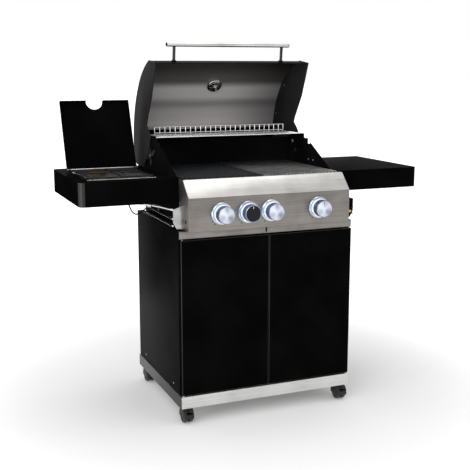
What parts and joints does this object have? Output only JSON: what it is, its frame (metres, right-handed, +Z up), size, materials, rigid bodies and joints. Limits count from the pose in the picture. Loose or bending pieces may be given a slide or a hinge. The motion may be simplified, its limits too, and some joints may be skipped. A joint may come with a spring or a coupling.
{
  "type": "gas barbecue grill",
  "caption": "Gas barbecue on a wheeled two-door cabinet, with an open hinged hood, warming rack, side burner under a lifted cover, side shelves and push-and-turn knobs.",
  "frame": {"origin": "on the floor under the middle of the whole object's box, hood open", "axes": "+Z up, front and knobs towards -Y, +X to the user's right as they face the front"},
  "size_m": [1.292, 0.6791, 1.3158],
  "materials": {
    "stainless_sheet": "brushed stainless sheet",
    "stainless_tube": "satin stainless tube",
    "black_enamel": "satin black powder coat",
    "fire_enamel": "matt black porcelain enamel",
    "grate_steel": "grey enamelled bars",
    "cap_grey": "dark grey painted casting",
    "chromed_wire": "chromed wire",
    "cast_grate": "black enamelled wire",
    "zinc_steel": "zinc plated steel",
    "brass": "turned brass",
    "knob_metal": "satin metal knob with a pale dial",
    "knob_dark": "satin metal knob with a dark face",
    "gauge_steel": "polished bezel and stem",
    "caster_plastic": "dark grey nylon",
    "wheel_plastic": "grey nylon tread",
    "black_plastic": "black plastic",
    "lead_rubber": "black insulated lead"
  },
  "bodies": {
    "cart": {"cart_base": "stainless_sheet", "left_side_panel": "black_enamel", "right_side_panel": "black_enamel", "back_panel": "black_enamel", "front_rail": "stainless_sheet", "door_catch": "black_plastic", "door_pins": "zinc_steel", "caster_plates": "zinc_steel", "firebox": "fire_enamel", "main_burners": "stainless_tube", "flame_tamers": "fire_enamel", "manifold": "brass", "gas_valves": "brass", "control_panel": "stainless_sheet", "panel_end_plates": "stainless_sheet", "knob_bezels": "stainless_sheet", "hinge_brackets": "zinc_steel", "hinge_pins": "zinc_steel", "left_shelf": "black_enamel", "right_shelf": "black_enamel", "cover_pin": "zinc_steel", "side_burner_pan": "stainless_sheet", "side_burner_head": "brass", "side_burner_pipe": "stainless_tube", "side_burner_lead": "lead_rubber", "tool_rails": "stainless_tube", "rail_brackets": "black_enamel", "screws": "zinc_steel"},
    "hood": {"hood_shell": "stainless_sheet", "hood_caps": "cap_grey", "hood_handle": "stainless_tube", "handle_posts": "stainless_tube", "thermometer": "gauge_steel"},
    "burner_lid": {"burner_cover": "black_enamel"},
    "door_left": {"left_door": "black_enamel"},
    "door_right": {"right_door": "black_enamel"},
    "grate_left": {"cooking_grate_left": "fire_enamel"},
    "grate_right": {"cooking_grate_right": "grate_steel"},
    "rack": {"warming_rack": "chromed_wire"},
    "trivet": {"pan_support": "cast_grate"},
    "tray": {"drip_tray": "stainless_sheet"},
    "cup": {"grease_cup": "zinc_steel"},
    "stem_1": {"valve_stem_1": "brass"},
    "dial_1": {"knob_1": "knob_metal"},
    "stem_2": {"valve_stem_2": "brass"},
    "dial_2": {"knob_2": "knob_dark"},
    "stem_3": {"valve_stem_3": "brass"},
    "dial_3": {"knob_3": "knob_metal"},
    "stem_4": {"valve_stem_4": "brass"},
    "dial_4": {"knob_4": "knob_metal"},
    "swivel_fl": {"caster_hood_fl": "caster_plastic"},
    "wheels_fl": {"caster_wheels_fl": "wheel_plastic"},
    "swivel_fr": {"caster_hood_fr": "caster_plastic"},
    "wheels_fr": {"caster_wheels_fr": "wheel_plastic"},
    "swivel_rl": {"caster_hood_rl": "caster_plastic"},
    "wheels_rl": {"caster_wheels_rl": "wheel_plastic"},
    "swivel_rr": {"caster_hood_rr": "caster_plastic"},
    "wheels_rr": {"caster_wheels_rr": "wheel_plastic"},
    "pedal_fl": {"brake_pedal_fl": "black_plastic"},
    "pedal_fr": {"brake_pedal_fr": "black_plastic"}
  },
  "joints": [
    {"name": "hood_hinge", "type": "hinge", "parent": "cart", "child": "hood", "pos_m": [0, 0.12844, 0.903], "axis": [1, 0, 0], "range_deg": [0, 83]},
    {"name": "cover_hinge", "type": "hinge", "parent": "cart", "child": "burner_lid", "pos_m": [-0.484, 0.13544, 0.862], "axis": [1, 0, 0], "range_deg": [0, 111]},
    {"name": "left_door_hinge", "type": "hinge", "parent": "cart", "child": "door_left", "pos_m": [-0.319, -0.27156, 0.38], "axis": [0, 0, 1], "range_deg": [-110, 0]},
    {"name": "right_door_hinge", "type": "hinge", "parent": "cart", "child": "door_right", "pos_m": [0.319, -0.27156, 0.38], "axis": [0, 0, 1], "range_deg": [0, 110]},
    {"name": "push_1", "type": "slide", "parent": "cart", "child": "stem_1", "axis": [0, 1, 0], "range_m": [0, 0.004], "stiffness_N_per_m": 900},
    {"name": "turn_1", "type": "hinge", "parent": "stem_1", "child": "dial_1", "pos_m": [-0.183, -0.30656, 0.741], "axis": [0, -1, 0], "range_deg": [0, 200]},
    {"name": "push_2", "type": "slide", "parent": "cart", "child": "stem_2", "axis": [0, 1, 0], "range_m": [0, 0.004], "stiffness_N_per_m": 900},
    {"name": "turn_2", "type": "hinge", "parent": "stem_2", "child": "dial_2", "pos_m": [-0.086, -0.30656, 0.741], "axis": [0, -1, 0], "range_deg": [0, 200]},
    {"name": "push_3", "type": "slide", "parent": "cart", "child": "stem_3", "axis": [0, 1, 0], "range_m": [0, 0.004], "stiffness_N_per_m": 900},
    {"name": "turn_3", "type": "hinge", "parent": "stem_3", "child": "dial_3", "pos_m": [0, -0.30656, 0.741], "axis": [0, -1, 0], "range_deg": [0, 200]},
    {"name": "push_4", "type": "slide", "parent": "cart", "child": "stem_4", "axis": [0, 1, 0], "range_m": [0, 0.004], "stiffness_N_per_m": 900},
    {"name": "turn_4", "type": "hinge", "parent": "stem_4", "child": "dial_4", "pos_m": [0.183, -0.30656, 0.741], "axis": [0, -1, 0], "range_deg": [0, 200]},
    {"name": "caster_fl_swivel", "type": "hinge", "parent": "cart", "child": "swivel_fl", "pos_m": [-0.303, -0.23956, 0.056], "axis": [0, 0, 1], "continuous": true},
    {"name": "caster_fl_roll", "type": "hinge", "parent": "swivel_fl", "child": "wheels_fl", "pos_m": [-0.303, -0.25356, 0.026], "axis": [1, 0, 0], "continuous": true},
    {"name": "caster_fr_swivel", "type": "hinge", "parent": "cart", "child": "swivel_fr", "pos_m": [0.303, -0.23956, 0.056], "axis": [0, 0, 1], "continuous": true},
    {"name": "caster_fr_roll", "type": "hinge", "parent": "swivel_fr", "child": "wheels_fr", "pos_m": [0.303, -0.25356, 0.026], "axis": [1, 0, 0], "continuous": true},
    {"name": "caster_rl_swivel", "type": "hinge", "parent": "cart", "child": "swivel_rl", "pos_m": [-0.303, 0.21044, 0.056], "axis": [0, 0, 1], "continuous": true},
    {"name": "caster_rl_roll", "type": "hinge", "parent": "swivel_rl", "child": "wheels_rl", "pos_m": [-0.303, 0.19644, 0.026], "axis": [1, 0, 0], "continuous": true},
    {"name": "caster_rr_swivel", "type": "hinge", "parent": "cart", "child": "swivel_rr", "pos_m": [0.303, 0.21044, 0.056], "axis": [0, 0, 1], "continuous": true},
    {"name": "caster_rr_roll", "type": "hinge", "parent": "swivel_rr", "child": "wheels_rr", "pos_m": [0.303, 0.19644, 0.026], "axis": [1, 0, 0], "continuous": true},
    {"name": "brake_fl", "type": "hinge", "parent": "swivel_fl", "child": "pedal_fl", "pos_m": [-0.303, -0.28056, 0.04], "axis": [1, 0, 0], "range_deg": [0, 20], "stiffness_Nm_per_rad": 0.2},
    {"name": "brake_fr", "type": "hinge", "parent": "swivel_fr", "child": "pedal_fr", "pos_m": [0.303, -0.28056, 0.04], "axis": [1, 0, 0], "range_deg": [0, 20], "stiffness_Nm_per_rad": 0.2},
    {"name": "left_grate_lift", "type": "slide", "parent": "cart", "child": "grate_left", "axis": [0, 0, -1], "range_m": [-0.1, 0]},
    {"name": "right_grate_lift", "type": "slide", "parent": "cart", "child": "grate_right", "axis": [0, 0, -1], "range_m": [-0.1, 0]},
    {"name": "rack_lift", "type": "slide", "parent": "cart", "child": "rack", "axis": [0, 0, 1], "range_m": [0, 0.08]},
    {"name": "trivet_lift", "type": "slide", "parent": "cart", "child": "trivet", "axis": [0, 0, 1], "range_m": [0, 0.08]},
    {"name": "tray_slide", "type": "slide", "parent": "cart", "child": "tray", "axis": [0, 1, 0], "range_m": [0, 0.4]},
    {"name": "cup_unhook", "type": "slide", "parent": "tray", "child": "cup", "axis": [0, -1, 0], "range_m": [0, 0.08]}
  ]
}
